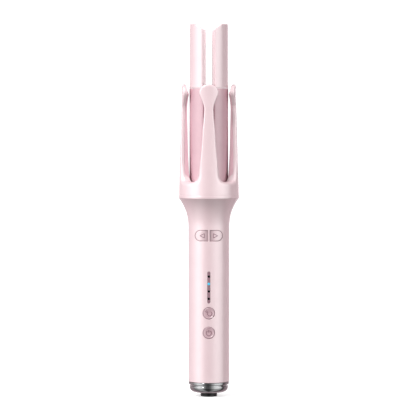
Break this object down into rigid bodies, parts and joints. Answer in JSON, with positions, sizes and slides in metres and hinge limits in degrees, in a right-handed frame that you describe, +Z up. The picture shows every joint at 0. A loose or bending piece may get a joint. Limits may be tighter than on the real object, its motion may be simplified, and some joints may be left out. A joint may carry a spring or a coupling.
{
  "type": "automatic hair curler",
  "caption": "Corded hair curler: round handle with buttons, flared neck, open cage of rounded petals and a slotted barrel that turns inside it.",
  "frame": {"origin": "centre of the cord gland's flat end, on the axis of the handle and barrel", "axes": "+Z up along the handle to the barrel tip, buttons face -Y, +X to the right as seen from the front"},
  "size_m": [0.0506, 0.0506, 0.309],
  "materials": {
    "shell": "pearl satin pink ABS",
    "rose": "glossy rose coating on aluminium",
    "liner": "heat-proof rose moulding",
    "button": "satin mauve",
    "chrome": "polished",
    "gland": "black satin",
    "black": "black moulding",
    "smoke": "smoky clear",
    "lamp": "clear lens",
    "board": "green solder mask on glass-fibre board",
    "brass": "machined",
    "steel": "plated",
    "spreader": "extruded",
    "resin": "glass-filled nylon",
    "ceramic": "unglazed",
    "carbon": "graphite block"
  },
  "bodies": {
    "handle": {"front_housing": "shell", "rear_housing": "shell", "neck_ring": "shell", "petal_cage": "shell", "cage_liner": "liner", "end_cap": "chrome", "end_trim_ring": "chrome", "turn_left_switch": "black", "turn_right_switch": "black", "temperature_switch": "black", "power_switch": "black", "control_chip": "black", "capacitor": "black", "indicator_window": "smoke", "lamp_1": "lamp", "lamp_2": "lamp", "lamp_3": "lamp", "lamp_4": "lamp", "main_board": "board", "contact_pin_inner": "brass", "contact_pin_outer": "brass", "motor_gearbox": "brass", "housing_screw_left": "steel", "housing_screw_right": "steel", "motor_can": "steel", "terminal_block": "resin", "contact_holder": "resin", "motor_bracket": "resin", "bearing_plate": "resin", "brush_holder": "resin", "thermal_fuse": "ceramic", "brush_low": "carbon", "brush_middle": "carbon", "brush_high": "carbon"},
    "barrel": {"heated_barrel": "rose", "tip_prong_left": "shell", "tip_prong_right": "shell", "barrel_carrier": "resin", "drive_ring_gear": "resin", "heater_plate_left": "ceramic", "heater_plate_right": "ceramic", "heater_spreader_left": "spreader", "heater_spreader_right": "spreader", "temperature_sensor": "ceramic", "slip_ring_low": "brass", "slip_ring_middle": "brass", "slip_ring_high": "brass"},
    "pinion": {"drive_pinion": "brass", "motor_shaft": "steel"},
    "swivel": {"swivel_gland": "gland", "gland_clip": "steel", "contact_disc": "resin", "contact_ring_inner": "brass", "contact_ring_outer": "brass"},
    "turn_left": {"turn_left_button": "button"},
    "turn_right": {"turn_right_button": "button"},
    "temperature": {"temperature_button": "button"},
    "power": {"power_button": "button"}
  },
  "joints": [
    {"name": "barrel_turn", "type": "hinge", "parent": "handle", "child": "barrel", "pos_m": [0, 0, 0.165], "axis": [0, 0, 1], "continuous": true},
    {"name": "pinion_turn", "type": "hinge", "parent": "handle", "child": "pinion", "pos_m": [0, 0.007, 0.1495], "axis": [0, 0, 1], "continuous": true},
    {"name": "cord_swivel", "type": "hinge", "parent": "handle", "child": "swivel", "pos_m": [0, 0, 0.005], "axis": [0, 0, 1], "continuous": true},
    {"name": "turn_left_press", "type": "slide", "parent": "handle", "child": "turn_left", "axis": [0, 1, 0], "range_m": [0, 0.0005], "stiffness_N_per_m": 800, "springref_m": -0.001},
    {"name": "turn_right_press", "type": "slide", "parent": "handle", "child": "turn_right", "axis": [0, 1, 0], "range_m": [0, 0.0005], "stiffness_N_per_m": 800, "springref_m": -0.001},
    {"name": "temperature_press", "type": "slide", "parent": "handle", "child": "temperature", "axis": [0, 1, 0], "range_m": [0, 0.0005], "stiffness_N_per_m": 800, "springref_m": -0.001},
    {"name": "power_press", "type": "slide", "parent": "handle", "child": "power", "axis": [0, 1, 0], "range_m": [0, 0.0005], "stiffness_N_per_m": 800, "springref_m": -0.001}
  ],
  "couplings": [
    {"joint": "pinion_turn", "follows": "barrel_turn", "ratio": 2.6667}
  ]
}
